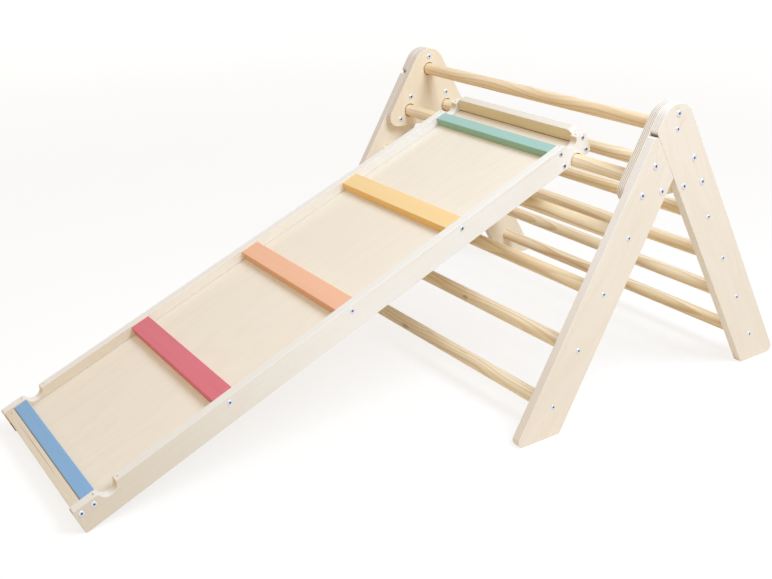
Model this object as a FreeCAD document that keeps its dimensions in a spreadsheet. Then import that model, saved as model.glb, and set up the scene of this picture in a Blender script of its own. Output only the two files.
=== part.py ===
import FreeCAD, Part
import math
import os
import re
import Sketcher

# Driving sizes, in millimetres and degrees. X runs along the ramp, Y along the rungs, Z up.
SIZES = {
    # sheet parts of the frame
    "ply": 18,
    "leg_width": 94,
    "leg_angle": 30.2,
    "top_height": 549,
    "inner_width": 740,
    "head_radius": 45,
    "head_corner": 6,
    "plate_drop": 132,
    "plate_corner": 24,
    "leg_seam": 0.6,
    "tip_drop": 9,
    "tip_round": 5,
    "foot_outer_round": 12,
    "foot_inner_round": 4,
    # rungs and their seats
    "rung_diameter": 28,
    "upper_pitch": 111,
    "low_rung_height": 61.5,
    "plate_hole_clear": 1.2,
    "rest_clear": 0.3,
    "socket_clear": 0.2,
    "socket_depth": 10,
    # bolts through leg and head plate, set out from the first rung along the leg
    "top_bolt_rise": 30,
    "outer_bolt_spread": 30,
    "outer_bolt_offset": 14.3,
    "inner_bolt_drop": 4,
    "inner_bolt_offset": 31.5,
    "bolt_head_diameter": 13,
    "bolt_head_height": 1.6,
    "bolt_diameter": 6,
    "bolt_length": 32,
    "nut_cap_diameter": 13,
    "nut_cap_height": 1.6,
    "sleeve_diameter": 8,
    "sleeve_length": 15,
    # wood screws in rungs and ramp
    "screw_head_diameter": 10,
    "screw_head_height": 1.2,
    "screw_diameter": 5,
    "screw_length": 50,
    "hole_clear": 0.1,
    "tip_clear": 1,
    # ramp, set out from the axis of the rung it hooks on to
    "ramp_width": 408,
    "rail_reach": 1137.5,
    "rail_overhang": 42.5,
    "rail_height": 48.5,
    "rail_below": 2.5,
    "rail_low_round": 4,
    "rail_upper_round": 9,
    "notch_slack": 1.6,
    "notch_lip": 2.5,
    "notch_lead": 6,
    "low_notch_inset": 64.5,
    "low_notch_sink": 0.8,
    "panel_top": 25.1,
    "groove_depth": 6,
    # cross pieces of the ramp
    "cleat_height": 18,
    "cleat_width": 40,
    "cleat_round": 1.5,
    "cleat_inset": 300.4,
    "end_cleat_width": 26,
    "green_at": 32.5,
    "blue_inset": 34.5,
    "cleat_screw_rise": 10,
    "bar_width": 18,
    "bar_recess": 2.5,
    "batten_height": 14.5,
    "board_recess": 2.8,
    "board_rise": 8.3,
    "board_bottom": 1,
    "board_corner": 14,
    "board_screw_low": 8.6,
    "board_screw_high": 36.2,
}

RIGHT = -1
LEFT = 1
FRONT = -1
BACK = 1

# Fasteners and the hidden rung sockets are prisms, so that what repeats stays light.
HEAD_SIDES = 12
SHANK_SIDES = 6
SOCKET_SIDES = 16

doc = FreeCAD.newDocument("climbing_frame")
sheet = doc.addObject("Spreadsheet::Sheet", "Sizes")
for row, (alias, number) in enumerate(SIZES.items(), start=1):
    sheet.set(f"A{row}", alias)
    sheet.set(f"B{row}", str(number))
    sheet.setAlias(f"B{row}", alias)
doc.recompute()


def bound(text):
    """Return the expression with each size's name pointed at the sheet."""
    return re.sub(r"[a-z]\w*", lambda word: f"Sizes.{word[0]}" if word[0] in SIZES else word[0], text)


def value(text):
    """Return the number that an expression gives."""
    result = sheet.evalExpression(bound(text))
    return float(getattr(result, "Value", result))


def bind(item, prop, text):
    """Bind a property of an object to an expression of the sizes."""
    item.setExpression(prop, bound(text))


# Derived positions, as expressions of the sizes.
HALF_LEG = "(leg_width / 2)"
RUNG_RADIUS = "(rung_diameter / 2)"
LEG_FACE = "(inner_width / 2 + ply)"
OUTER_FACE = "(inner_width / 2 + 2 * ply)"
RAMP_INNER = "(ramp_width - 2 * ply)"
PIVOT_HEIGHT = "(top_height - upper_pitch * cos(leg_angle))"

# The lower rungs divide what is left of the leg down to the lowest one, three steps below the second.
LOWER_PITCH = "(((top_height - low_rung_height) / cos(leg_angle) - 2 * upper_pitch) / 3)"

# The ramp's tilt puts the rounded low corner of its rails on the floor.
LOW_ARM = "(rail_reach - rail_low_round)"
LOW_DROP = "(rail_low_round - rail_below)"
TILT = (
    f"(asin(({PIVOT_HEIGHT} - rail_low_round) / hypot({LOW_ARM}; {LOW_DROP}))"
    f" + atan2({LOW_DROP}; {LOW_ARM}))"
)

# The origin lies under the middle of the whole length, from the back feet to the ramp's low end.
FOOT_REACH = (
    f"(({HALF_LEG} + (top_height - foot_outer_round) * sin(leg_angle) - foot_outer_round)"
    " / cos(leg_angle) + foot_outer_round)"
)
RAMP_REACH = (
    f"(upper_pitch * sin(leg_angle) + {LOW_ARM} * cos({TILT})"
    f" + (rail_height - rail_below - rail_low_round) * sin({TILT}) + rail_low_round)"
)
APEX_X = f"(({RAMP_REACH} - {FOOT_REACH}) / 2)"
PIVOT_X = f"({APEX_X} - upper_pitch * sin(leg_angle))"


def rung_distance(number):
    """Distance of a rung from the top rung, along the leg; number 1 is the highest."""
    upper = min(number, 2)
    return f"({upper} * upper_pitch + {number - upper} * {LOWER_PITCH})"


def on_leg(end, along, offset="0"):
    """Point on a leg: distance down the leg's middle line and offset outwards from it."""
    across = f"{end} * (({along}) * sin(leg_angle) + ({offset}) * cos(leg_angle))"
    height = f"top_height - ({along}) * cos(leg_angle) + ({offset}) * sin(leg_angle)"
    return across, height


def frame_body(name, across):
    """Body whose origin stands on the floor below the top rung, moved along Y."""
    body = doc.addObject("PartDesign::Body", name)
    body.Label = name
    bind(body, "Placement.Base.x", APEX_X)
    bind(body, "Placement.Base.y", across)
    return body


def ramp_body(name, across):
    """Body whose origin is on the axis of the ramp's rung, tilted with the ramp; +X runs up it."""
    body = doc.addObject("PartDesign::Body", name)
    body.Label = name
    down_axis = FreeCAD.Vector(0, -1, 0)
    body.Placement = FreeCAD.Placement(FreeCAD.Vector(), FreeCAD.Rotation(down_axis, value(TILT)))
    bind(body, "Placement.Base.x", PIVOT_X)
    bind(body, "Placement.Base.y", across)
    bind(body, "Placement.Base.z", PIVOT_HEIGHT)
    bind(body, "Placement.Rotation.Angle", TILT)
    return body


def new_sketch(body, name, plane_role="XZ_Plane"):
    """Sketch on one of the body's own origin planes."""
    sketch = body.newObject("Sketcher::SketchObject", name)
    plane = next(item for item in body.Origin.OriginFeatures if item.Role == plane_role)
    sketch.AttachmentSupport = [(plane, "")]
    sketch.MapMode = "FlatFace"
    return sketch


def place_points(sketch, points):
    """Hold points of the sketch's geometry at bound positions from the sketch's origin."""
    wanted = []
    for geometry, point, position in points:
        for kind, text in zip(("DistanceX", "DistanceY"), position):
            wanted.append((Sketcher.Constraint(kind, -1, 1, geometry, point, value(text)), text))
    first = sketch.ConstraintCount
    sketch.addConstraint([constraint for constraint, text in wanted])
    for index, (constraint, text) in enumerate(wanted, start=first):
        bind(sketch, f"Constraints[{index}]", text)


def add_loop(sketch, corners):
    """Add a closed loop of straight lines with every corner bound."""
    first = sketch.GeometryCount
    count = len(corners)
    spots = [FreeCAD.Vector(value(across), value(up), 0) for across, up in corners]
    sketch.addGeometry([Part.LineSegment(spots[n], spots[(n + 1) % count]) for n in range(count)])
    joins = [
        Sketcher.Constraint("Coincident", first + n, 2, first + (n + 1) % count, 1) for n in range(count)
    ]
    sketch.addConstraint(joins)
    place_points(sketch, [(first + n, 1, corner) for n, corner in enumerate(corners)])


def outline(body, name, corners, plane_role="XZ_Plane"):
    """Sketch of one closed outline."""
    sketch = new_sketch(body, name, plane_role)
    add_loop(sketch, corners)
    return sketch


def rings(body, name, centres, diameter):
    """Circles of one bound diameter at bound centres, in the body's XZ plane."""
    sketch = new_sketch(body, name)
    for number, (across, up) in enumerate(centres):
        middle = FreeCAD.Vector(value(across), value(up), 0)
        sketch.addGeometry(Part.Circle(middle, FreeCAD.Vector(0, 0, 1), value(diameter) / 2))
        index = sketch.addConstraint(Sketcher.Constraint("Diameter", number, value(diameter)))
        bind(sketch, f"Constraints[{index}]", diameter)
    place_points(sketch, [(number, 3, centre) for number, centre in enumerate(centres)])
    return sketch


def polygons(body, name, centres, diameter, count):
    """Regular polygons of one bound width across corners at bound centres, in the body's XZ plane."""
    sketch = new_sketch(body, name)
    reach = value(diameter) / 2
    guides = []
    for across, up in centres:
        middle = FreeCAD.Vector(value(across), value(up), 0)
        turns = [math.radians(360 * number / count) for number in range(count)]
        spots = [middle + FreeCAD.Vector(math.cos(turn), math.sin(turn), 0) * reach for turn in turns]
        guide = sketch.addGeometry(Part.Circle(middle, FreeCAD.Vector(0, 0, 1), reach), True)
        first = guide + 1
        following = [(n + 1) % count for n in range(count)]
        sketch.addGeometry([Part.LineSegment(spots[n], spots[following[n]]) for n in range(count)])
        hold = [
            Sketcher.Constraint("Coincident", first + n, 2, first + following[n], 1) for n in range(count)
        ]
        hold += [Sketcher.Constraint("PointOnObject", first + n, 1, guide) for n in range(count)]
        hold += [Sketcher.Constraint("Equal", first, first + n) for n in range(1, count)]
        hold.append(Sketcher.Constraint("Horizontal", first, 1, guide, 3))
        hold += [Sketcher.Constraint("Equal", earlier, guide) for earlier in guides[:1]]
        sketch.addConstraint(hold)
        guides.append(guide)
    index = sketch.addConstraint(Sketcher.Constraint("Diameter", guides[0], value(diameter)))
    bind(sketch, f"Constraints[{index}]", diameter)
    place_points(sketch, [(guide, 3, centre) for guide, centre in zip(guides, centres)])
    return sketch


def pad(body, sketch, length, toward):
    """Thicken a sketch along +Y or -Y."""
    feature = body.newObject("PartDesign::Pad", f"{sketch.Name}_pad")
    feature.Profile = sketch
    bind(feature, "Length", length)
    feature.Reversed = toward > 0
    doc.recompute()
    return feature


def pocket(body, sketch, depth, toward):
    """Cut a sketch's shape away along +Y or -Y and make sure that something was cut."""
    before = body.Shape.Volume
    feature = body.newObject("PartDesign::Pocket", f"{sketch.Name}_pocket")
    feature.Profile = sketch
    bind(feature, "Length", depth)
    feature.Reversed = toward < 0
    doc.recompute()
    if body.Shape.Volume >= before:
        raise RuntimeError(f"{feature.Name} cuts nothing")
    return feature


def round_edges(body, feature, name, corners, radius, direction=(0, 1, 0), plane=(0, 2)):
    """Round the edges that run along a direction through given corners of the outline."""
    along = FreeCAD.Vector(*direction)
    spots = [(value(across), value(up)) for across, up in corners]
    found = []
    for number, edge in enumerate(feature.Shape.Edges, start=1):
        heading = edge.tangentAt(edge.FirstParameter)
        middle = edge.CenterOfMass
        here = (middle[plane[0]], middle[plane[1]])
        close = any(math.dist(here, spot) < 0.05 for spot in spots)
        if close and abs(heading.dot(along)) > 0.999:
            found.append(f"Edge{number}")
    if len(found) < len(spots):
        raise RuntimeError(f"{name} finds {len(found)} edges of {len(spots)}")
    fillet = body.newObject("PartDesign::Fillet", name)
    fillet.Base = (feature, found)
    bind(fillet, "Radius", radius)
    doc.recompute()
    return fillet


# Bolt and screw places, shared by legs, plates and fasteners.
OUTER_BOLTS = ("upper_pitch - outer_bolt_spread", "upper_pitch + outer_bolt_spread")
INNER_BOLT = "upper_pitch + inner_bolt_drop"
TOP_BOLT = ("0", "top_height + top_bolt_rise")
TOP_RUNG = ("0", "top_height")


def leg_bolts(end):
    """Centres of the three bolts beside the first rung of one leg."""
    places = [on_leg(end, along, "outer_bolt_offset") for along in OUTER_BOLTS]
    places.append(on_leg(end, INNER_BOLT, "-inner_bolt_offset"))
    return places


def lower_rungs(end):
    """Centres of the four rungs that sit in sockets of one leg."""
    return [on_leg(end, rung_distance(number)) for number in range(2, 6)]


ALL_BOLTS = [TOP_BOLT] + leg_bolts(FRONT) + leg_bolts(BACK)
SCREWED_RUNGS = [TOP_RUNG] + lower_rungs(FRONT) + lower_rungs(BACK)


def loose_hole(end):
    """Centre of the plate hole that the first rung of a leg lies in, resting on its bottom."""
    across, height = on_leg(end, "upper_pitch")
    return across, f"{height} + plate_hole_clear - rest_clear"


PLATE_HOLES = [TOP_RUNG, loose_hole(FRONT), loose_hole(BACK)]

# Corners of the legs and plate in the plane of the sides, from the floor below the top rung.
HEAD_TIP = ("0", f"top_height + {HALF_LEG} / sin(leg_angle)")


def foot_corner(end, edge):
    """Corner of a foot on the floor; edge is 1 for the outer edge and -1 for the inner one."""
    across = f"{end} * (top_height * tan(leg_angle) + {edge} * {HALF_LEG} / cos(leg_angle))"
    return across, "0"


def shank_holes(body, name, centres, diameter):
    """Sketch of the holes that fasteners of one shank diameter go through."""
    return polygons(body, name, centres, f"{diameter} + 2 * hole_clear", SHANK_SIDES)


def pilot_holes(body, name, centres, width, depth):
    """Blind screw holes in both ends of a cross piece that starts at the body's own XZ plane."""
    for end, toward in (("right", LEFT), ("left", RIGHT)):
        sketch = shank_holes(body, f"{name}_{end}_pilots", centres, "screw_diameter")
        if toward == RIGHT:
            bind(sketch, "AttachmentOffset.Base.z", f"-({width})")
        pocket(body, sketch, depth, toward)


def head_plate(name):
    """Triangular plate with a rounded head; three rungs and seven nut sleeves go through it."""
    body = frame_body(name, "-inner_width / 2")
    spread = f"(plate_drop * tan(leg_angle) + {HALF_LEG} / cos(leg_angle))"
    low_corners = [(f"{end} * {spread}", "top_height - plate_drop") for end in (FRONT, BACK)]
    blank = pad(body, outline(body, f"{name}_outline", [HEAD_TIP] + low_corners), "ply", RIGHT)
    headed = round_edges(body, blank, f"{name}_head", [HEAD_TIP], "head_radius")
    round_edges(body, headed, f"{name}_corners", low_corners, "plate_corner")
    rung_holes = rings(body, f"{name}_rungs", PLATE_HOLES, "rung_diameter + 2 * plate_hole_clear")
    pocket(body, rung_holes, "ply", RIGHT)
    sleeve_holes = shank_holes(body, f"{name}_sleeves", ALL_BOLTS, "sleeve_diameter")
    pocket(body, sleeve_holes, "ply", RIGHT)
    return body


def drill_leg(body, name, end, bolts, screws):
    """Cut the rung sockets and the bolt and screw holes of a leg."""
    across_corners = f"(rung_diameter + 2 * socket_clear) / cos({180 / SOCKET_SIDES})"
    sockets = polygons(body, f"{name}_sockets", lower_rungs(end), across_corners, SOCKET_SIDES)
    pocket(body, sockets, "socket_depth", RIGHT)
    bolt_holes = shank_holes(body, f"{name}_bolts", bolts, "bolt_diameter")
    pocket(body, bolt_holes, "ply", RIGHT)
    screw_holes = shank_holes(body, f"{name}_screws", screws, "screw_diameter")
    pocket(body, screw_holes, "ply", RIGHT)


def long_leg(name):
    """Leg that carries the rounded head, from above the top rung to the back foot."""
    body = frame_body(name, f"-{LEG_FACE}")
    shoulder = (f"-{HALF_LEG} / cos(leg_angle)", "top_height")
    inner_foot = foot_corner(BACK, -1)
    outer_foot = foot_corner(BACK, 1)
    sketch = outline(body, f"{name}_outline", [HEAD_TIP, shoulder, inner_foot, outer_foot])
    blank = pad(body, sketch, "ply", RIGHT)
    headed = round_edges(body, blank, f"{name}_head", [HEAD_TIP], "head_radius")
    eased = round_edges(body, headed, f"{name}_shoulder", [shoulder], "head_corner")
    footed = round_edges(body, eased, f"{name}_outer_foot", [outer_foot], "foot_outer_round")
    round_edges(body, footed, f"{name}_inner_foot", [inner_foot], "foot_inner_round")
    drill_leg(body, name, BACK, [TOP_BOLT] + leg_bolts(BACK), [TOP_RUNG] + lower_rungs(BACK))
    return body


def short_leg(name):
    """Leg that butts against the long leg's front edge, below its head."""
    body = frame_body(name, f"-{LEG_FACE}")
    tip_height = "top_height - tip_drop"
    tip_outer = (f"-({HALF_LEG} + tip_drop * sin(leg_angle)) / cos(leg_angle)", tip_height)
    tip_seam = (f"-({HALF_LEG} + leg_seam - tip_drop * sin(leg_angle)) / cos(leg_angle)", tip_height)
    crotch = (
        "-leg_seam / 2 / cos(leg_angle)",
        f"top_height - ({HALF_LEG} + leg_seam / 2) / sin(leg_angle)",
    )
    inner_foot = foot_corner(FRONT, -1)
    outer_foot = foot_corner(FRONT, 1)
    corners = [tip_outer, tip_seam, crotch, inner_foot, outer_foot]
    blank = pad(body, outline(body, f"{name}_outline", corners), "ply", RIGHT)
    footed = round_edges(body, blank, f"{name}_outer_foot", [outer_foot], "foot_outer_round")
    eased = round_edges(body, footed, f"{name}_inner_foot", [inner_foot], "foot_inner_round")
    round_edges(body, eased, f"{name}_tip", [tip_outer, tip_seam], "tip_round")
    drill_leg(body, name, FRONT, leg_bolts(FRONT), lower_rungs(FRONT))
    return body


def rung(name, centre, depth_in_leg, screwed):
    """Round dowel between the legs, with a pilot hole in each end where a screw goes in."""
    half = f"({LEG_FACE} + {depth_in_leg})"
    body = frame_body(name, f"-{half}")
    bind(body, "Placement.Base.x", f"{APEX_X} + {centre[0]}")
    bind(body, "Placement.Base.z", centre[1])
    pad(body, rings(body, f"{name}_section", [("0", "0")], "rung_diameter"), f"2 * {half}", LEFT)
    if screwed:
        depth = f"screw_length - ply + {depth_in_leg} + tip_clear"
        pilot_holes(body, name, [("0", "0")], f"2 * {half}", depth)


def headed_group(name, body, outwards, centres, head, shank):
    """Group of separate fasteners: heads on a face of the wood and plain shanks going into it."""
    body.AllowCompound = True
    heads = polygons(body, f"{name}_heads", centres, head[0], HEAD_SIDES)
    pad(body, heads, head[1], outwards)
    shanks = polygons(body, f"{name}_shanks", centres, shank[0], SHANK_SIDES)
    pad(body, shanks, shank[1], -outwards)
    return body


def plate_bolts(name):
    """Bolts through leg and head plate."""
    body = frame_body(name, f"-{OUTER_FACE}")
    head = ("bolt_head_diameter", "bolt_head_height")
    return headed_group(name, body, RIGHT, ALL_BOLTS, head, ("bolt_diameter", "bolt_length"))


def sleeve_nuts(name):
    """Nuts with a flat cap on the head plate's inner face and a bored sleeve in the plate."""
    body = frame_body(name, "-inner_width / 2")
    cap = ("nut_cap_diameter", "nut_cap_height")
    headed_group(name, body, LEFT, ALL_BOLTS, cap, ("sleeve_diameter", "sleeve_length"))
    bores = shank_holes(body, f"{name}_bores", ALL_BOLTS, "bolt_diameter")
    pocket(body, bores, "sleeve_length", RIGHT)
    return body


def rung_screws(name):
    """Screws through the legs into the ends of the rungs."""
    body = frame_body(name, f"-{OUTER_FACE}")
    head = ("screw_head_diameter", "screw_head_height")
    return headed_group(name, body, RIGHT, SCREWED_RUNGS, head, ("screw_diameter", "screw_length"))


# Ramp positions, from the axis of its rung: X up the ramp, Z away from the panel's top.
RAIL_TOP = "(rail_height - rail_below)"
LOW_NOTCH = "(low_notch_inset - rail_reach)"
PANEL_BOTTOM = f"({RUNG_RADIUS} + rest_clear)"
NOTCH_RADIUS = f"({RUNG_RADIUS} + notch_slack)"
BAR_END = "(rail_reach - bar_recess)"
BOARD_OUTER = "(rail_overhang - board_recess)"
BOARD_INNER = f"({BOARD_OUTER} - ply)"
CLEATS = {
    "cleat_green": ("green_at", "end_cleat_width"),
    "cleat_yellow": ("cleat_inset", "cleat_width"),
    "cleat_orange": ("rail_reach / 2", "cleat_width"),
    "cleat_red": ("rail_reach - cleat_inset", "cleat_width"),
    "cleat_blue": ("rail_reach - blue_inset", "end_cleat_width"),
}
BAR_AT = f"{BAR_END} - bar_width / 2"
CLEAT_SCREW_HEIGHT = "panel_top + cleat_screw_rise"
RAMP_PILOT = "screw_length - ply + tip_clear"
BATTEN_SCREW = ("-green_at", f"{PANEL_BOTTOM} - batten_height / 2")
BOARD_MIDDLE = f"{BOARD_OUTER} - ply / 2"
BOARD_SCREWS = [(BOARD_MIDDLE, "board_screw_low"), (BOARD_MIDDLE, "board_screw_high")]


def cleat_screw(place):
    """Centre of the screw into the end of a cross piece at a distance down the ramp."""
    return f"-({place})", CLEAT_SCREW_HEIGHT


RAMP_SCREWS = [cleat_screw(place) for place, width in CLEATS.values()]
RAMP_SCREWS += [cleat_screw(BAR_AT), BATTEN_SCREW] + BOARD_SCREWS


def panel_corners():
    """Corners of the panel's section along the ramp, from the end board to the end bar."""
    low = f"-{BAR_END}"
    return [
        (low, PANEL_BOTTOM),
        (BOARD_INNER, PANEL_BOTTOM),
        (BOARD_INNER, "panel_top"),
        (low, "panel_top"),
    ]


def notch_lips(place, height, edge_height):
    """Corners where a round notch meets the edge of the rail, the down-slope one first."""
    half = f"sqrt({NOTCH_RADIUS} ^ 2 - (({edge_height}) - ({height})) ^ 2)"
    return [(f"{place} + {sign} * {half}", edge_height) for sign in (-1, 1)]


def rail(name):
    """Side of the ramp: hook notch below, two notches above, a groove for the panel inside."""
    body = ramp_body(name, f"-{RAMP_INNER} / 2")
    bottom = "-rail_below"
    low_corners = [("-rail_reach", bottom), ("-rail_reach", RAIL_TOP)]
    upper_corners = [("rail_overhang", RAIL_TOP), ("rail_overhang", bottom)]
    corners = [low_corners[0], upper_corners[1], upper_corners[0], low_corners[1]]
    blank = pad(body, outline(body, f"{name}_outline", corners), "ply", RIGHT)
    low_ended = round_edges(body, blank, f"{name}_low_end", low_corners, "rail_low_round")
    round_edges(body, low_ended, f"{name}_upper_end", upper_corners, "rail_upper_round")
    low_height = f"{RAIL_TOP} - low_notch_sink"
    notches = [("0", "0"), ("0", RAIL_TOP), (LOW_NOTCH, low_height)]
    notched = pocket(body, rings(body, f"{name}_notches", notches, f"2 * {NOTCH_RADIUS}"), "ply", RIGHT)
    upper_lead, upper_lip = notch_lips("0", RAIL_TOP, RAIL_TOP)
    low_lead, low_lip = notch_lips(LOW_NOTCH, low_height, RAIL_TOP)
    lips = notch_lips("0", "0", bottom) + [upper_lip, low_lip]
    lipped = round_edges(body, notched, f"{name}_lips", lips, "notch_lip")
    round_edges(body, lipped, f"{name}_leads", [upper_lead, low_lead], "notch_lead")
    pocket(body, outline(body, f"{name}_groove", panel_corners()), "groove_depth", RIGHT)
    pocket(body, shank_holes(body, f"{name}_screws", RAMP_SCREWS, "screw_diameter"), "ply", RIGHT)
    return body


def cross_bar(name, place, width, seat, height, screw):
    """Straight bar between the rails; the long edges away from the panel are eased."""
    body = ramp_body(name, f"-{RAMP_INNER} / 2")
    near = f"-({place}) - {width} / 2"
    far = f"-({place}) + {width} / 2"
    free = f"{seat} + {height}"
    corners = [(near, seat), (far, seat), (far, free), (near, free)]
    blank = pad(body, outline(body, f"{name}_section", corners), RAMP_INNER, LEFT)
    round_edges(body, blank, f"{name}_eased", corners[2:], "cleat_round")
    pilot_holes(body, name, [screw], RAMP_INNER, RAMP_PILOT)


def ramp_panel(name):
    """Sheet that is let into the grooves of both rails."""
    body = ramp_body(name, f"-({RAMP_INNER} / 2 + groove_depth)")
    section = outline(body, f"{name}_section", panel_corners())
    pad(body, section, f"{RAMP_INNER} + 2 * groove_depth", LEFT)


def end_board(name):
    """Board across the upper end, with rounded top corners that stand above the rails."""
    body = ramp_body(name, f"-{RAMP_INNER} / 2")
    top = f"{RAIL_TOP} + board_rise"
    face = [("0", "-board_bottom"), (RAMP_INNER, "-board_bottom"), (RAMP_INNER, top), ("0", top)]
    sketch = outline(body, f"{name}_face", face, "YZ_Plane")
    bind(sketch, "AttachmentOffset.Base.z", BOARD_INNER)
    blank = body.newObject("PartDesign::Pad", f"{name}_blank")
    blank.Profile = sketch
    bind(blank, "Length", "ply")
    doc.recompute()
    round_edges(body, blank, f"{name}_corners", face[2:], "board_corner", (1, 0, 0), (1, 2))
    pilot_holes(body, name, BOARD_SCREWS, RAMP_INNER, RAMP_PILOT)


def rail_screws(name):
    """Screws through the rails into the cross pieces."""
    body = ramp_body(name, "-ramp_width / 2")
    head = ("screw_head_diameter", "screw_head_height")
    return headed_group(name, body, RIGHT, RAMP_SCREWS, head, ("screw_diameter", "screw_length"))


def both_sides(make, name):
    """Make a piece of the right side and its mirror image on the left side."""
    image = doc.addObject("Part::Mirroring", f"{name}_left")
    image.Label = f"{name}_left"
    image.Source = make(f"{name}_right")
    image.Normal = FreeCAD.Vector(0, 1, 0)


def build_frame():
    """Both sides, all rungs and the frame's fasteners."""
    both_sides(head_plate, "head_plate")
    both_sides(long_leg, "long_leg")
    both_sides(short_leg, "short_leg")
    both_sides(plate_bolts, "plate_bolts")
    both_sides(sleeve_nuts, "sleeve_nuts")
    both_sides(rung_screws, "rung_screws")
    rung("rung_top", TOP_RUNG, "0", True)
    for word, end in (("front", FRONT), ("back", BACK)):
        rung(f"rung_{word}_1", on_leg(end, "upper_pitch"), "0", False)
        for number, centre in enumerate(lower_rungs(end), start=2):
            rung(f"rung_{word}_{number}", centre, "socket_depth", True)


def build_ramp():
    """Rails, panel, cross pieces and the ramp's screws."""
    both_sides(rail, "rail")
    both_sides(rail_screws, "rail_screws")
    ramp_panel("ramp_panel")
    for name, (place, width) in CLEATS.items():
        cross_bar(name, place, width, "panel_top", "cleat_height", cleat_screw(place))
    cross_bar("end_bar", BAR_AT, "bar_width", "panel_top", "cleat_height", cleat_screw(BAR_AT))
    batten = ("end_cleat_width", PANEL_BOTTOM, "(-batten_height)")
    cross_bar("under_batten", "green_at", *batten, BATTEN_SCREW)
    end_board("end_board")


build_frame()
build_ramp()
doc.recompute()

for item in doc.Objects:
    if "Invalid" in item.State or "Error" in item.State:
        raise RuntimeError(f"{item.Label} is in state {item.State}")
pieces = [item for item in doc.Objects if item.TypeId in ("PartDesign::Body", "Part::Mirroring")]
for piece in pieces:
    if piece.Shape.isNull() or not piece.Shape.isValid():
        raise RuntimeError(f"{piece.Label} has no valid shape")
os.makedirs("parts", exist_ok=True)
for piece in pieces:
    piece.Shape.exportStep(f"parts/{piece.Label}.step")
    print(piece.Label, len(piece.Shape.Solids), round(piece.Shape.Volume / 1000, 1), "cm3")
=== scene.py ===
"""Looks of a wooden climbing frame with a hooked-on ramp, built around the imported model.

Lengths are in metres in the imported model's frame: X along the ramp, Y along the rungs, Z up.
"""

import logging
import math
from dataclasses import dataclass
from enum import Enum

import bpy
from bpy.types import ID, Material, Mesh, Node, NodeOutputs, NodeSocket, NodeTree, Object
from mathutils import Color, Matrix, Vector


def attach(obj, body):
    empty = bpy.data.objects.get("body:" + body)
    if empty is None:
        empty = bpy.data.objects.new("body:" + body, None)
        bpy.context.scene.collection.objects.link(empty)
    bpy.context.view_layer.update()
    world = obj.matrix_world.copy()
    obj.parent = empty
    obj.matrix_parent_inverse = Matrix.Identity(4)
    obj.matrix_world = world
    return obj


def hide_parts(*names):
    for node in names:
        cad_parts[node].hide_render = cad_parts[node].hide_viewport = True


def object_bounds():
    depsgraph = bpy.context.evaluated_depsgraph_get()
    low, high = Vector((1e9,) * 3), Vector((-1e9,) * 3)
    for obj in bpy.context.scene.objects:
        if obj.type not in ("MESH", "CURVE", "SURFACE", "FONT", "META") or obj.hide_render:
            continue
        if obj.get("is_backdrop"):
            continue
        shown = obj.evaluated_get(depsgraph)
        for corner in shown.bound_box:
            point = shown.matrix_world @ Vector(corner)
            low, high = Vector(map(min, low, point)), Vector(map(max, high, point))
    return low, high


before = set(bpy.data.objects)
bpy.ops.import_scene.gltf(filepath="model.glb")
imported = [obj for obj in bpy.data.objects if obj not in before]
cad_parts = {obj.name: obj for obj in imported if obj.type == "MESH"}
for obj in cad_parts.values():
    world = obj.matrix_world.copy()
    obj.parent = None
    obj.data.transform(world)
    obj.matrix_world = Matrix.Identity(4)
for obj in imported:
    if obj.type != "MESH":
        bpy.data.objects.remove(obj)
log = logging.getLogger("climbing_frame")

Colour = tuple[float, float, float, float]
Pair = tuple[float, float]
Triple = tuple[float, float, float]
Feed = NodeSocket | float | tuple

ACROSS: Triple = (0.0, 1.0, 0.0)
UPRIGHT: Triple = (0.0, 0.0, 1.0)
QUARTER_TURN = math.radians(90)
LENGTHWISE: Triple = (0.0, 0.0, -QUARTER_TURN)
WHITE: Colour = (1.0, 1.0, 1.0, 1.0)
TOP_LEVEL = 255
MERGE_DISTANCE = 1e-6
FLAT_ANGLE = math.radians(0.5)
SHARP_ANGLE = math.radians(40)
FACET_ANGLE = math.radians(20)
ROUND_SEGMENTS = 2


class Body(Enum):
    """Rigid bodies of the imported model."""

    FRAME = "frame"
    RAMP = "ramp"


class Slot(Enum):
    """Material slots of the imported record."""

    BIRCH = "birch_ply"
    PINE = "pine"
    ZINC = "zinc"
    GREEN = "paint_green"
    YELLOW = "paint_yellow"
    ORANGE = "paint_orange"
    RED = "paint_red"
    BLUE = "paint_blue"


class Side(Enum):
    """The two sides, with the sign of their Y."""

    RIGHT = -1
    LEFT = 1

    @property
    def word(self) -> str:
        """Name ending of the side's pieces."""
        return self.name.lower()


def shade(red: int, green: int, blue: int) -> Colour:
    """Turn a display colour into the scene's linear colour.

    Args:
        red, green, blue: display levels from 0 to 255.

    Returns:
        Linear red, green and blue, and full alpha.
    """
    shown = Color((red / TOP_LEVEL, green / TOP_LEVEL, blue / TOP_LEVEL))
    return (*shown.from_srgb_to_scene_linear(), 1.0)


# Colour that painted shade turns birch towards, at the short legs' feet and the near rail's low half.
SHADED_BIRCH = shade(206, 186, 156)


def select_only(piece: Object) -> None:
    """Make one object the only selected one and the active one.

    Args:
        piece: the object.
    """
    bpy.ops.object.select_all(action="DESELECT")
    piece.select_set(True)
    bpy.context.view_layer.objects.active = piece


def link_new(name: str, data: ID) -> Object:
    """Put a mesh, a lamp or a camera into the scene.

    Args:
        name: the new object's name.
        data: what it holds.

    Returns:
        The new object, at the origin.
    """
    made = bpy.data.objects.new(name, data)
    bpy.context.scene.collection.objects.link(made)
    return made


def dress(piece: Object, *materials: Material) -> None:
    """Give a piece its materials in place of those it has.

    Args:
        piece: the piece.
        materials: its materials, in the order of its slots.
    """
    piece.data.materials.clear()
    for material in materials:
        piece.data.materials.append(material)


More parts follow.
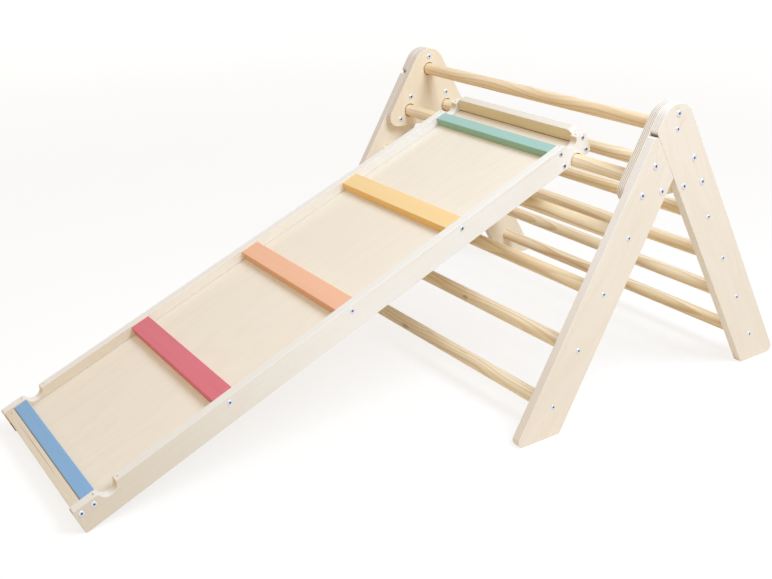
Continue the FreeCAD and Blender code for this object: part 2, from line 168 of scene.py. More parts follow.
def settle(piece: Object, body: Body, slot: Slot, *nodes: str) -> None:
    """Let a finished piece ride on its body and stand for its CAD nodes.

    Args:
        piece: the finished piece.
        body: the rigid body that carries it.
        slot: the record's slot for its finish; not used.
        nodes: CAD nodes that the piece replaces.
    """
    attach(piece, body.value)
    if nodes:
        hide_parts(*nodes)
    log.info("%s: %d faces on %s", piece.name, len(piece.data.polygons), body.value)


def join_all(pieces: list[Object], name: str) -> Object:
    """Join pieces into one object.

    Args:
        pieces: the pieces, each with a mesh of its own.
        name: name of the joined object.

    Returns:
        The joined object.
    """
    select_only(pieces[0])
    for piece in pieces:
        piece.select_set(True)
    bpy.ops.object.join()
    pieces[0].name = name
    return pieces[0]


def eased_copy(node: str, name: str, ease: float) -> Object:
    """Copy a CAD node as clean faces, with its sharp edges eased and its round walls smooth.

    Args:
        node: the CAD node.
        name: the new piece's name.
        ease: width of the eased edges, or 0 to leave them as they are.

    Returns:
        The new piece, at the origin.
    """
    piece = link_new(name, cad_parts[node].data.copy())
    select_only(piece)
    bpy.ops.mesh.customdata_custom_splitnormals_clear()
    bpy.ops.object.mode_set(mode="EDIT")
    bpy.ops.mesh.select_all(action="SELECT")
    bpy.ops.mesh.remove_doubles(threshold=MERGE_DISTANCE)
    bpy.ops.mesh.dissolve_limited(angle_limit=FLAT_ANGLE)
    bpy.ops.object.mode_set(mode="OBJECT")
    if ease:
        bevel = piece.modifiers.new("eased_edges", "BEVEL")
        bevel.width = ease
        bevel.segments = ROUND_SEGMENTS
        bevel.limit_method = "ANGLE"
        bevel.angle_limit = SHARP_ANGLE
        bevel.use_clamp_overlap = False
        bpy.ops.object.modifier_apply(modifier=bevel.name)
    bpy.ops.object.shade_smooth_by_angle(angle=FACET_ANGLE)
    return piece


def stand_in(node: str, name: str, body: Body, slot: Slot, material: Material, ease: float = 0.0) -> None:
    """Make a dressed copy of a CAD node that stands for it.

    Args:
        node: the CAD node.
        name: the copy's name.
        body: the rigid body that carries it.
        slot: the record's slot for its finish.
        material: its finish.
        ease: width of its eased edges, or 0 to leave them as they are.
    """
    piece = eased_copy(node, name, ease)
    dress(piece, material)
    settle(piece, body, slot, node)


def start_ring(points: int, radius: float, height: float = 0.0) -> Object:
    """Add a ring of points round Z and open it for shaping, all selected.

    Args:
        points: number of points.
        radius: radius of the ring.
        height: Z of the ring.

    Returns:
        The new object, in edit mode.
    """
    bpy.ops.object.select_all(action="DESELECT")
    bpy.ops.mesh.primitive_circle_add(vertices=points, radius=radius, location=(0, 0, height))
    ring = bpy.context.object
    bpy.ops.object.transform_apply(location=True, rotation=True, scale=True)
    bpy.ops.object.mode_set(mode="EDIT")
    bpy.ops.mesh.select_all(action="SELECT")
    return ring


def extrude_ring(wider: float, rise: float) -> None:
    """Extrude the selected ring along Z and scale it about its middle."""
    bpy.ops.mesh.extrude_region_move(TRANSFORM_OT_translate={"value": (0, 0, rise)})
    bpy.ops.transform.resize(value=(wider, wider, 1.0))


def turn_to_open_ring() -> None:
    """Close the selected ring with a face and select the ring that is still open."""
    bpy.ops.mesh.edge_face_add()
    bpy.ops.mesh.select_all(action="DESELECT")
    bpy.ops.mesh.select_mode(type="EDGE")
    bpy.ops.mesh.select_non_manifold(
        use_wire=False, use_multi_face=False, use_non_contiguous=False, use_verts=False
    )


def close_shell() -> None:
    """Close the last open ring and end the shaping, with faces outwards and round walls smooth."""
    bpy.ops.mesh.edge_face_add()
    bpy.ops.mesh.select_all(action="SELECT")
    bpy.ops.mesh.normals_make_consistent(inside=False)
    bpy.ops.object.mode_set(mode="OBJECT")
    bpy.ops.object.shade_smooth_by_angle(angle=SHARP_ANGLE)


class Graph:
    """Short way to add and join the nodes of one node tree."""

    def __init__(self, tree: NodeTree) -> None:
        """Keep the tree that nodes are added to."""
        self.tree = tree

    def put(self, socket: NodeSocket, source: Feed) -> None:
        """Link a socket to an output, or set its value.

        Args:
            socket: the socket.
            source: the output, or the value.
        """
        if isinstance(source, NodeSocket):
            self.tree.links.new(source, socket)
        else:
            socket.default_value = source

    def add(self, kind: str, feeds: dict | None = None, **settings: object) -> Node:
        """Add a node.

        Args:
            kind: Blender's name of the node's type.
            feeds: outputs or values for its inputs, by name or number.
            settings: values of the node's own properties.

        Returns:
            The node.
        """
        node = self.tree.nodes.new(kind)
        for name, setting in settings.items():
            setattr(node, name, setting)
        for key, source in (feeds or {}).items():
            self.put(node.inputs[key], source)
        return node

    def group(self, tree: NodeTree, feeds: dict) -> NodeOutputs:
        """Return the outputs of a shared group, placed with its own values."""
        return self.add("ShaderNodeGroup", feeds, node_tree=tree).outputs

    def math(self, operation: str, first: Feed, second: Feed = 0.0) -> NodeSocket:
        """Return the result of a Math node."""
        return self.add("ShaderNodeMath", {0: first, 1: second}, operation=operation).outputs[0]

    def times(self, first: Feed, second: Feed) -> NodeSocket:
        """Return the product of two values."""
        return self.math("MULTIPLY", first, second)

    def moved(self, vector: Feed, part: str, amount: Triple) -> NodeSocket:
        """Return a vector through a Mapping node that has its Location or its Rotation set."""
        return self.add("ShaderNodeMapping", {"Vector": vector, part: amount}).outputs[0]

    def stretch(self, vector: Feed, factors: Triple) -> NodeSocket:
        """Return a vector with each part multiplied by its own factor."""
        node = self.add("ShaderNodeVectorMath", {0: vector, 1: factors}, operation="MULTIPLY")
        return node.outputs["Vector"]

    def along(self, vector: Feed, direction: Triple) -> NodeSocket:
        """Return how far a vector reaches along a direction."""
        node = self.add("ShaderNodeVectorMath", {0: vector, 1: direction}, operation="DOT_PRODUCT")
        return node.outputs["Value"]

    def length(self, vector: Feed) -> NodeSocket:
        """Return the length of a vector."""
        return self.add("ShaderNodeVectorMath", {0: vector}, operation="LENGTH").outputs["Value"]

    def distance(self, vector: Feed, place: Triple, factors: Triple) -> NodeSocket:
        """Return the distance from a place, with each axis multiplied by its own factor."""
        away = self.add("ShaderNodeVectorMath", {0: vector, 1: place}, operation="SUBTRACT")
        return self.length(self.stretch(away.outputs["Vector"], factors))

    def noise(self, vector: Feed, scale: Triple, detail: float, wander: float = 0.0) -> NodeSocket:
        """Return noise with its own scale along each axis.

        Args:
            vector: the place.
            scale: waves in a metre along each axis.
            detail: number of finer waves.
            wander: how far the waves are bent.

        Returns:
            The noise value.
        """
        place = self.stretch(vector, scale)
        feeds = {"Vector": place, "Scale": 1.0, "Detail": detail, "Distortion": wander}
        return self.add("ShaderNodeTexNoise", feeds).outputs[0]

    def step(self, value: Feed, span: Pair) -> NodeSocket:
        """Return a soft step from 0 at the first value of a span to 1 at its second value."""
        feeds = {0: value, 1: span[0], 2: span[1], 3: 0.0, 4: 1.0}
        return self.add("ShaderNodeMapRange", feeds, interpolation_type="SMOOTHSTEP").outputs[0]

    def spread(self, value: Feed, span: Pair) -> NodeSocket:
        """Return a value from 0 to 1 spread evenly over a span."""
        feeds = {0: value, 1: 0.0, 2: 1.0, 3: span[0], 4: span[1]}
        return self.add("ShaderNodeMapRange", feeds).outputs[0]

    def blend(self, amount: Feed, first: Feed, second: Feed) -> NodeSocket:
        """Return the mix of two colours, by the numbers of the node's sockets for colours."""
        node = self.add("ShaderNodeMix", {0: amount, 6: first, 7: second}, data_type="RGBA")
        return node.outputs[2]

    def tint(self, colour: Feed, mask: Feed, share: float, tone: Feed) -> NodeSocket:
        """Return a colour mixed with a tone by a share of a mask."""
        return self.blend(self.times(mask, share), colour, tone)


class SharedGroups:
    """Shader node groups that more than one finish uses.

    Fibres run along X, and rings lie round Y. A scale gives the waves in a metre along each axis,
    a step the values between which something begins to show, and a span its lowest and highest value.
    """

    fine_scale: Triple = (22, 620, 620)
    streak_scale: Triple = (4, 150, 150)
    swell_scale: Triple = (1.5, 9, 9)
    swell_waves: float = 55.0
    figure_step: Pair = (-0.4, 1.0)
    fleck_scale: Triple = (70, 900, 900)
    fleck_step: Pair = (0.64, 0.74)
    waver_scale: Triple = (40, 40, 40)
    waver_span: Pair = (-0.12, 0.12)
    pore_scale: Triple = (420, 420, 420)
    layer_step: Pair = (-0.05, -0.55)
    glue_step: Pair = (0.3, 0.0)
    drift_scale: Triple = (7, 3.2, 7)
    drift_span: Pair = (-0.02, 0.02)
    ring_rise: Pair = (0.2, 0.9)
    ring_fall: Pair = (1.0, 0.9)
    ring_span: Pair = (0.25, 1.0)
    band_scale: Triple = (60, 1.2, 60)

    def __init__(self) -> None:
        """Build every group once."""
        self.fibre = self.wood_fibre()
        self.layers = self.ply_layers()
        self.rings = self.growth_rings()

    @staticmethod
    def begin(name: str, values: list[str], outputs: list[str]) -> tuple[Graph, dict, dict]:
        """Start a group with a vector named Vector as its first input.

        Args:
            name: the group's name.
            values: names of its other inputs, which are all values.
            outputs: names of its outputs, which are all values.

        Returns:
            The graph, the inner sockets of the inputs and those of the outputs.
        """
        tree = bpy.data.node_groups.new(name, "ShaderNodeTree")
        tree.interface.new_socket(name="Vector", in_out="INPUT", socket_type="NodeSocketVector")
        for way, sockets in (("INPUT", values), ("OUTPUT", outputs)):
            for socket in sockets:
                tree.interface.new_socket(name=socket, in_out=way, socket_type="NodeSocketFloat")
        graph = Graph(tree)
        entry = graph.add("NodeGroupInput")
        leave = graph.add("NodeGroupOutput")
        starts = {socket: entry.outputs[socket] for socket in ["Vector", *values]}
        ends = {socket: leave.inputs[socket] for socket in outputs}
        return graph, starts, ends

    def wood_fibre(self) -> NodeTree:
        """Fine fibres, streaks, broad figure and short flecks along the grain.

        Returns:
            The group.
        """
        names = ["Fine", "Streak", "Figure", "Fleck"]
        graph, start, end = self.begin("wood_fibre", [], names)
        place = start["Vector"]
        swell = graph.noise(place, self.swell_scale, detail=2.0, wander=0.6)
        waves = graph.math("SINE", graph.times(swell, self.swell_waves))
        fleck = graph.noise(place, self.fleck_scale, detail=1.0)
        graph.put(end["Fine"], graph.noise(place, self.fine_scale, detail=2.0))
        graph.put(end["Streak"], graph.noise(place, self.streak_scale, detail=4.0, wander=0.3))
        graph.put(end["Figure"], graph.step(waves, self.figure_step))
        graph.put(end["Fleck"], graph.step(fleck, self.fleck_step))
        return graph.tree

    def ply_layers(self) -> NodeTree:
        """Alternate veneers and glue lines through a sheet, by the depth below its face.

        Returns:
            The group.
        """
        names = ["Layer", "Glue", "Pores"]
        graph, start, end = self.begin("ply_layers", ["Depth", "Veneer"], names)
        place = start["Vector"]
        count = graph.math("DIVIDE", start["Depth"], start["Veneer"])
        waver = graph.noise(place, self.waver_scale, detail=1.0)
        count = graph.math("ADD", count, graph.spread(waver, self.waver_span))
        wave = graph.math("SINE", graph.times(count, math.pi))
        graph.put(end["Layer"], graph.step(wave, self.layer_step))
        graph.put(end["Glue"], graph.step(graph.math("ABSOLUTE", wave), self.glue_step))
        graph.put(end["Pores"], graph.noise(place, self.pore_scale, detail=2.0))
        return graph.tree

    def growth_rings(self) -> NodeTree:
        """Late-wood lines of rings round a pith, with a slow wander.

        Returns:
            The group.
        """
        graph, start, end = self.begin("growth_rings", ["Width"], ["Ring", "Band"])
        place = start["Vector"]
        drift = graph.noise(place, self.drift_scale, detail=1.0)
        reach = graph.length(graph.stretch(place, (1, 0, 1)))
        reach = graph.math("ADD", reach, graph.spread(drift, self.drift_span))
        count = graph.math("DIVIDE", reach, start["Width"])
        part = graph.math("FRACT", count)
        line = graph.times(graph.step(part, self.ring_rise), graph.step(part, self.ring_fall))
        number = graph.math("FLOOR", count)
        chance = graph.add("ShaderNodeTexWhiteNoise", {"W": number}, noise_dimensions="1D")
        strength = graph.spread(chance.outputs["Value"], self.ring_span)
        graph.put(end["Ring"], graph.times(line, strength))
        graph.put(end["Band"], graph.noise(place, self.band_scale, detail=2.0))
        return graph.tree


def new_material(name: str) -> tuple[Material, Graph, Node]:
    """Start a material.

    Args:
        name: the material's name.

    Returns:
        The material, its graph and its Principled shader.
    """
    material = bpy.data.materials.new(name)
    material.use_nodes = True
    graph = Graph(material.node_tree)
    return material, graph, material.node_tree.nodes["Principled BSDF"]


@dataclass(frozen=True)
class Coat:
    """Sheen and relief of a coat on wood.

    Attributes:
        roughness: its lowest and highest roughness.
        relief: how strongly the fibres under it show as relief.
        depth: height of that relief.
    """

    roughness: Pair
    relief: float
    depth: float

    def lay(self, graph: Graph, shader: Node, colour: Feed, sheen: Feed, height: Feed) -> None:
        """Feed a shader its colour, roughness and relief.

        Args:
            graph: the material's graph.
            shader: its Principled shader.
            colour: the finished colour.
            sheen: value from 0 to 1 that the roughness follows.
            height: value from 0 to 1 that the relief follows.
        """
        graph.put(shader.inputs["Base Color"], colour)
        graph.put(shader.inputs["Roughness"], graph.spread(sheen, self.roughness))
        feeds = {"Height": height, "Strength": self.relief, "Distance": self.depth}
        graph.put(shader.inputs["Normal"], graph.add("ShaderNodeBump", feeds).outputs["Normal"])


@dataclass(frozen=True)
class ShadePocket:
    """Painted shade on the walls of a hole, slot or groove end in a sheet.

    Attributes:
        place: X and Z of its middle.
        reach: distances from the middle where the sheet is pale and where it is dark.
        depth: depths below the first face where the sheet is pale and where it is dark.
        strength: how dark it is.
        tone: colour of the painted shade on its walls.
    """

    place: Pair
    reach: Pair
    depth: Pair
    strength: float
    tone: Colour = shade(96, 68, 36)

    def over(self, graph: Graph, place: Feed, depth: Feed, colour: Feed) -> NodeSocket:
        """Lay this pocket's painted shade over a colour.

        Args:
            graph: the material's graph.
            place: the place on the object.
            depth: the depth below the sheet's first face.
            colour: the sheet's colour.

        Returns:
            The new colour.
        """
        away = graph.distance(place, (self.place[0], 0.0, self.place[1]), (1, 0, 1))
        dark = graph.times(graph.step(away, self.reach), graph.step(depth, self.depth))
        return graph.tint(colour, dark, self.strength, self.tone)


@dataclass(frozen=True)
class Band:
    """Change of a sheet's tone along a direction: painted light and shade, end grain, a dark joint line.

    Attributes:
        direction: direction along which the tone changes.
        reach: where along it the tone starts to change and where it has changed.
        strength: how far it changes.
        tone: colour that it changes to.
    """

    direction: Triple
    reach: Pair
    strength: float
    tone: Colour

    def over(self, graph: Graph, place: Feed, colour: Feed, mask: Feed = 1.0) -> NodeSocket:
        """Return a colour with this change laid over it where the mask is 1."""
        changed = graph.step(graph.along(place, self.direction), self.reach)
        return graph.tint(colour, graph.times(changed, mask), self.strength, self.tone)


@dataclass(frozen=True)
class Mark:
    """Knot, streak, dot or dark patch in a piece of pine.

    Attributes:
        place: its middle.
        radius: its radius across the grain.
        stretch: how many times longer it is along the grain.
        strength: how strongly it shows.
        core: share of the radius within which it is darkest.
    """

    place: Triple
    radius: float
    stretch: float
    strength: float
    core: float = 0.2

    def over(self, graph: Graph, place: Feed, colour: Feed, tone: Colour) -> NodeSocket:
        """Lay this mark over a colour.

        Args:
            graph: the material's graph.
            place: the place on the object.
            colour: the wood's colour.
            tone: colour of the mark.

        Returns:
            The new colour.
        """
        away = graph.distance(place, self.place, (1, 1 / self.stretch, 1))
        spot = graph.step(away, (self.radius, self.radius * self.core))
        return graph.tint(colour, spot, self.strength, tone)


@dataclass(frozen=True)
class BirchPly:
    """Clear-lacquered birch plywood: pale faces with a faint figure, striped edges.

    Attributes:
        name: the material's name.
        grain: direction of the face grain.
        through: direction through the sheet.
        face_at: where the sheet's first face lies along that direction.
        mirrored: whether the sheet has a mirror image across the middle plane.
        thickness: thickness of the sheet.
        veneers: number of veneers in it.
        stripe: how strongly the veneers show on the edges.
        face_bands, edge_bands: changes of tone of the faces and of the edges: painted light and shade,
            and a dark joint line.
        end_grain_and_shade_bands: changes of tone of those edges that face down the grain,
            as darker end grain and painted shade.
        shade_pockets: holes, slots and groove ends darkened with painted shade.
        face, streak, fleck: colours of the faces.
        long_veneer, cross_veneer, glue_line: colours of the edges.
        streak_step, pore_step: noise values between which streaks and pores begin to show.
        streak_share, figure_share, fleck_share: how strongly each shows on the faces.
        glue_share, pore_share: how strongly each shows on the edges, as a share of stripe.
        edge_turn: part of the normal through the sheet where a face ends and where an edge begins.
        end_turn: part of the normal along the grain where an edge begins to be an end, and is one.
        coat: sheen and relief.
    """

    name: str
    grain: Triple
    through: Triple
    face_at: float
    mirrored: bool = True
    thickness: float = 0.018
    veneers: int = 9
    stripe: float = 0.55
    face_bands: tuple[Band, ...] = ()
    edge_bands: tuple[Band, ...] = ()
    end_grain_and_shade_bands: tuple[Band, ...] = ()
    shade_pockets: tuple[ShadePocket, ...] = ()
    face: Colour = shade(249, 241, 230)
    streak: Colour = shade(239, 224, 203)
    fleck: Colour = shade(205, 178, 145)
    long_veneer: Colour = shade(250, 246, 240)
    cross_veneer: Colour = shade(176, 148, 126)
    glue_line: Colour = shade(150, 118, 90)
    streak_step: Pair = (0.42, 0.85)
    pore_step: Pair = (0.5, 0.8)
    streak_share: float = 0.3
    figure_share: float = 0.14
    fleck_share: float = 0.12
    glue_share: float = 0.25
    pore_share: float = 0.2
    edge_turn: Pair = (0.75, 0.55)
    end_turn: Pair = (-0.45, -0.95)
    coat: Coat = Coat(roughness=(0.40, 0.58), relief=0.12, depth=0.0002)

    def turn(self) -> Triple:
        """Turn the grain to X and the sheet's thickness to Y.

        Returns:
            The rotation about X, Y and Z.
        """
        grain = Vector(self.grain).normalized()
        through = Vector(self.through).normalized()
        return tuple(Matrix((grain, through, grain.cross(through))).to_euler("XYZ"))

    def material(self, groups: SharedGroups) -> Material:
        """Build the material.

        Args:
            groups: the shared node groups.

        Returns:
            The finished material.
        """
        material, graph, shader = new_material(self.name)
        coordinates = graph.add("ShaderNodeTexCoord")
        place = coordinates.outputs["Object"]
        normal = coordinates.outputs["Normal"]
        turned = graph.moved(place, "Rotation", self.turn())
        reach = graph.along(place, self.through)
        if self.mirrored:
            reach = graph.math("ABSOLUTE", reach)
        depth = graph.math("SUBTRACT", reach, self.face_at)
        fibre = graph.group(groups.fibre, {"Vector": turned})
        feeds = {"Vector": turned, "Depth": depth, "Veneer": self.thickness / self.veneers}
        layers = graph.group(groups.layers, feeds)

        streaked = graph.step(fibre["Streak"], self.streak_step)
        face = graph.tint(self.face, streaked, self.streak_share, self.streak)
        face = graph.tint(face, fibre["Figure"], self.figure_share, self.streak)
        face = graph.tint(face, fibre["Fleck"], self.fleck_share, self.fleck)
        for band in self.face_bands:
            face = band.over(graph, place, face)

        porous = graph.step(layers["Pores"], self.pore_step)
        edge = graph.tint(self.long_veneer, layers["Layer"], self.stripe, self.cross_veneer)
        edge = graph.tint(edge, layers["Glue"], self.stripe * self.glue_share, self.glue_line)
        edge = graph.tint(edge, porous, self.stripe * self.pore_share, self.cross_veneer)
        # Edges that face down the grain take darker end grain and painted shade.
        ends = graph.step(graph.along(normal, self.grain), self.end_turn)
        for band in self.end_grain_and_shade_bands:
            edge = band.over(graph, place, edge, ends)
        for band in self.edge_bands:
            edge = band.over(graph, place, edge)

        facing = graph.math("ABSOLUTE", graph.along(normal, self.through))
        colour = graph.blend(graph.step(facing, self.edge_turn), face, edge)
        # Painted shade in holes, slots and groove ends.
        for pocket in self.shade_pockets:
            colour = pocket.over(graph, place, depth, colour)
        self.coat.lay(graph, shader, colour, sheen=fibre["Fine"], height=fibre["Fine"])
        return material


@dataclass(frozen=True)
class PineWood:
    """Clear-lacquered pine with growth rings that show as streaks along its length.

    Attributes:
        name: the material's name.
        pith: X and Z of the line that the rings lie round.
        ring_width: distance between two rings.
        marks: its knots and streaks.
        early, late, warm, knot: colours of early and late wood, warm bands and marks.
        band_step, fine_step: noise values between which bands and fibres begin to show.
        band_share, ring_share, fine_share: how strongly each shows.
        coat: sheen and relief.
    """

    name: str
    pith: Pair = (0.0, 0.5)
    ring_width: float = 0.0072
    marks: tuple[Mark, ...] = ()
    early: Colour = shade(254, 241, 214)
    late: Colour = shade(196, 148, 88)
    warm: Colour = shade(244, 214, 162)
    knot: Colour = shade(140, 98, 50)
    band_step: Pair = (0.38, 0.72)
    fine_step: Pair = (0.5, 0.8)
    band_share: float = 0.55
    ring_share: float = 0.6
    fine_share: float = 0.14
    coat: Coat = Coat(roughness=(0.36, 0.55), relief=0.15, depth=0.0003)

    def material(self, groups: SharedGroups) -> Material:
        """Build the material.

        Args:
            groups: the shared node groups.

        Returns:
            The finished material.
        """
        material, graph, shader = new_material(self.name)
        place = graph.add("ShaderNodeTexCoord").outputs["Object"]
        from_pith = graph.moved(place, "Location", (-self.pith[0], 0.0, -self.pith[1]))
        rings = graph.group(groups.rings, {"Vector": from_pith, "Width": self.ring_width})
        fibre = graph.group(groups.fibre, {"Vector": graph.moved(place, "Rotation", LENGTHWISE)})
        banded = graph.step(rings["Band"], self.band_step)
        fine = graph.step(fibre["Fine"], self.fine_step)
        colour = graph.tint(self.early, banded, self.band_share, self.warm)
        colour = graph.tint(colour, rings["Ring"], self.ring_share, self.late)
        colour = graph.tint(colour, fine, self.fine_share, self.late)
        for mark in self.marks:
            colour = mark.over(graph, place, colour, self.knot)
        self.coat.lay(graph, shader, colour, sheen=fibre["Streak"], height=fibre["Fine"])
        return material


@dataclass(frozen=True)
class SatinPaint:
    """Satin paint on wood, with the grain showing faintly through.

    Attributes:
        slot: the record's slot for the paint, which also names the material.
        colour: the paint's colour.
        deep: its colour in the pores of the wood.
        side: its colour on the sides, deeper than the top as painted shade.
        streak_step: noise values between which streaks begin to show.
        streak_share, pore_share: how strongly streaks and pores show.
        side_turn: upward part of the normal where the top ends and where a side begins.
        calm: how far the light that it throws on other pieces is toned down.
        thrown: colour that this light is toned down to.
        coat: sheen and relief.
    """

    slot: Slot
    colour: Colour
    deep: Colour
    side: Colour
    streak_step: Pair = (0.4, 0.8)
    streak_share: float = 0.25
    pore_share: float = 0.35
    side_turn: Pair = (0.8, 0.3)
    calm: float = 0.7
    thrown: Colour = shade(240, 222, 196)
    coat: Coat = Coat(roughness=(0.42, 0.6), relief=0.2, depth=0.0003)

    def material(self, groups: SharedGroups, upwards: Triple) -> Material:
        """Build the material.

        Args:
            groups: the shared node groups.
            upwards: direction that the painted top faces.

        Returns:
            The finished material.
        """
        material, graph, shader = new_material(self.slot.value)
        coordinates = graph.add("ShaderNodeTexCoord")
        lengthwise = graph.moved(coordinates.outputs["Object"], "Rotation", LENGTHWISE)
        fibre = graph.group(groups.fibre, {"Vector": lengthwise})
        streaked = graph.step(fibre["Streak"], self.streak_step)
        colour = graph.tint(self.colour, streaked, self.streak_share, self.deep)
        # Painted shade: the sides take a deeper colour than the top.
        upright = graph.along(coordinates.outputs["Normal"], upwards)
        colour = graph.blend(graph.step(upright, self.side_turn), colour, self.side)
        colour = graph.tint(colour, fibre["Fleck"], self.pore_share, self.deep)
        thrown = graph.add("ShaderNodeLightPath").outputs["Is Diffuse Ray"]
        colour = graph.tint(colour, thrown, self.calm, self.thrown)
        self.coat.lay(graph, shader, colour, sheen=fibre["Fine"], height=fibre["Fine"])
        return material


@dataclass(frozen=True)
class ZincPlate:
    """Bright zinc plating with a faint mottle.

    Attributes:
        name: the material's name.
        bright: colour of the plating.
        dull: colour of its duller patches.
        roughness: roughness of the bright and of the dull patches.
        mottle: waves of the mottle in a metre along each axis.
    """

    name: str
    bright: Colour
    dull: Colour
    roughness: Pair
    mottle: Triple = (650, 650, 650)

    def material(self) -> Material:
        """Build the material.

        Returns:
            The finished material.
        """
        material, graph, shader = new_material(self.name)
        place = graph.add("ShaderNodeTexCoord").outputs["Object"]
        mottled = graph.noise(place, self.mottle, detail=3.0)
        graph.put(shader.inputs["Base Color"], graph.blend(mottled, self.bright, self.dull))
        graph.put(shader.inputs["Roughness"], graph.spread(mottled, self.roughness))
        shader.inputs["Metallic"].default_value = 1.0
        return material


@dataclass(frozen=True)
class SideTones:
    """Colours of one side's sheets, which differ between the sides as painted light and shade.

    Attributes:
        leg, leg_edge: faces and edges of the legs.
        plate, plate_edge: faces and edges of the head plate.
    """

    leg: Colour
    leg_edge: Colour
    plate: Colour
    plate_edge: Colour


@dataclass
class SideWalls:
    """Head plates and legs of both sides.

    Attributes:
        leg_angle: lean of the legs.
        plate_start, leg_start: distance of the first faces from the middle plane.
        right, left: colours of the two sides; the right side is lighter as painted light,
        and the left side's leg edges are darker as painted shade.
        slot: painted shade in the slot under the long leg's head.
        holes: X and Z of the rungs' holes in the head plates.
        hole_reach, hole_depth, hole_strength: reach, depth and strength of the painted shade
        on the walls of those holes.
        foot_shade_reach: places along a short leg, from the origin, between which painted shade
        makes it duller towards its foot.
        ease: width of the eased edges.
    """

    leg_angle: float = math.radians(30.2)
    plate_start: float = 0.370
    leg_start: float = 0.388
    # Painted light and shade: the right side's sheets are lighter and whiter, the left side's leg edges
    # darker.
    right: SideTones = SideTones(
        leg=shade(250, 243, 235),
        leg_edge=shade(255, 252, 249),
        plate=shade(249, 236, 214),
        plate_edge=shade(255, 252, 245),
    )
    left: SideTones = SideTones(
        leg=shade(250, 240, 224),
        leg_edge=shade(243, 236, 228),
        plate=shade(249, 236, 214),
        plate_edge=shade(255, 250, 240),
    )
    # Painted shade in the slot under the long leg's head.
    slot: ShadePocket = ShadePocket(
        place=(0.3265, 0.540), reach=(0.010, 0.004), depth=(0.0172, 0.0165), strength=0.8
    )
    holes: tuple[Pair, ...] = ((0.37582, 0.549), (0.31999, 0.45307), (0.43165, 0.45307))
    hole_reach: Pair = (0.0162, 0.0156)
    hole_depth: Pair = (0.019, 0.018)
    hole_strength: float = 0.75
    foot_shade_reach: Pair = (0.4, 0.08)
    ease: float = 0.0008

    def finishes(self, side: Side) -> dict[str, BirchPly]:
        """Choose the finishes of one side; a leg's grain runs along it.

        Args:
            side: the side.

        Returns:
            The finish of each kind of sheet.
        """
        lean = math.sin(self.leg_angle)
        rise = math.cos(self.leg_angle)
        up_short_leg = (lean, 0.0, rise)
        tones = self.right if side is Side.RIGHT else self.left
        # Painted shade on the walls of the rungs' holes.
        shade_pockets = [
            ShadePocket(hole, self.hole_reach, self.hole_depth, self.hole_strength) for hole in self.holes
        ]
        plate = BirchPly(
            f"plate_ply_{side.word}", UPRIGHT, ACROSS, self.plate_start, stripe=0.7,
            face=tones.plate, long_veneer=tones.plate_edge, shade_pockets=tuple(shade_pockets),
        )
        long_leg = BirchPly(
            f"long_leg_ply_{side.word}", (-lean, 0.0, rise), ACROSS, self.leg_start, stripe=0.25,
            face=tones.leg, long_veneer=tones.leg_edge, shade_pockets=(self.slot,),
        )
        short_leg = BirchPly(
            f"short_leg_ply_{side.word}", up_short_leg, ACROSS, self.leg_start, stripe=0.2,
            face=tones.leg, long_veneer=tones.leg_edge,
            # Painted shade dulls the short leg's face and edges towards its foot.
            face_bands=(Band(up_short_leg, self.foot_shade_reach, strength=0.06, tone=SHADED_BIRCH),),
            edge_bands=(Band(up_short_leg, self.foot_shade_reach, strength=0.22, tone=SHADED_BIRCH),),
        )
        return {"head_plate": plate, "long_leg": long_leg, "short_leg": short_leg}

    def build(self, groups: SharedGroups) -> None:
        """Make and dress the sheets of both sides.

        Args:
            groups: the shared node groups.
        """
        for side in Side:
            for kind, finish in self.finishes(side).items():
                node = f"{kind}_{side.word}"
                name = f"{kind}_sheet_{side.word}"
                stand_in(node, name, Body.FRAME, Slot.BIRCH, finish.material(groups), self.ease)


@dataclass
class RungSet:
    """Round rungs of the frame.

    Attributes:
        pith: X and Z of the line that the growth rings lie round.
        steps: number of rungs on each pair of legs.
        marks: a knot, resin streaks, a dot and a dark patch on the front rungs.
        top_early, top_warm: colours of the top rung's wood; the other rungs keep paler colours
        as painted light that makes up for the ramp's shade on them.
    """

    pith: Pair = (0.376, 0.22)
    steps: int = 5
    marks: tuple[Mark, ...] = (
        Mark((0.1356, -0.0862, 0.1621), radius=0.0060, stretch=2.0, strength=0.5),
        # A dark patch on a front rung beneath the ramp.
        Mark((0.0781, 0.0487, 0.0617), radius=0.0080, stretch=2.5, strength=0.5),
        Mark((0.0871, -0.0306, 0.0746), radius=0.0010, stretch=18.0, strength=0.45),
        Mark((0.0860, -0.1449, 0.0741), radius=0.0010, stretch=22.0, strength=0.45),
        Mark((0.0880, -0.1962, 0.0749), radius=0.0014, stretch=1.5, strength=0.6),
    )
    top_early: Colour = shade(250, 228, 192)
    top_warm: Colour = shade(240, 204, 152)

    def nodes(self) -> list[str]:
        """Names of all rungs."""
        numbers = range(1, self.steps + 1)
        return ["rung_top"] + [f"rung_{end}_{number}" for end in ("front", "back") for number in numbers]

    def build(self, groups: SharedGroups) -> None:
        """Make and dress the rungs.

        Args:
            groups: the shared node groups.
        """
        # Painted light: the rungs other than the top one are paler, making up for the ramp's shade on them.
        pale = PineWood("rung_pine", self.pith, marks=self.marks).material(groups)
        top = PineWood("top_rung_pine", self.pith, early=self.top_early, warm=self.top_warm)
        deep = top.material(groups)
        for node in self.nodes():
            pine = deep if node == "rung_top" else pale
            stand_in(node, f"{node}_dowel", Body.FRAME, Slot.PINE, pine)


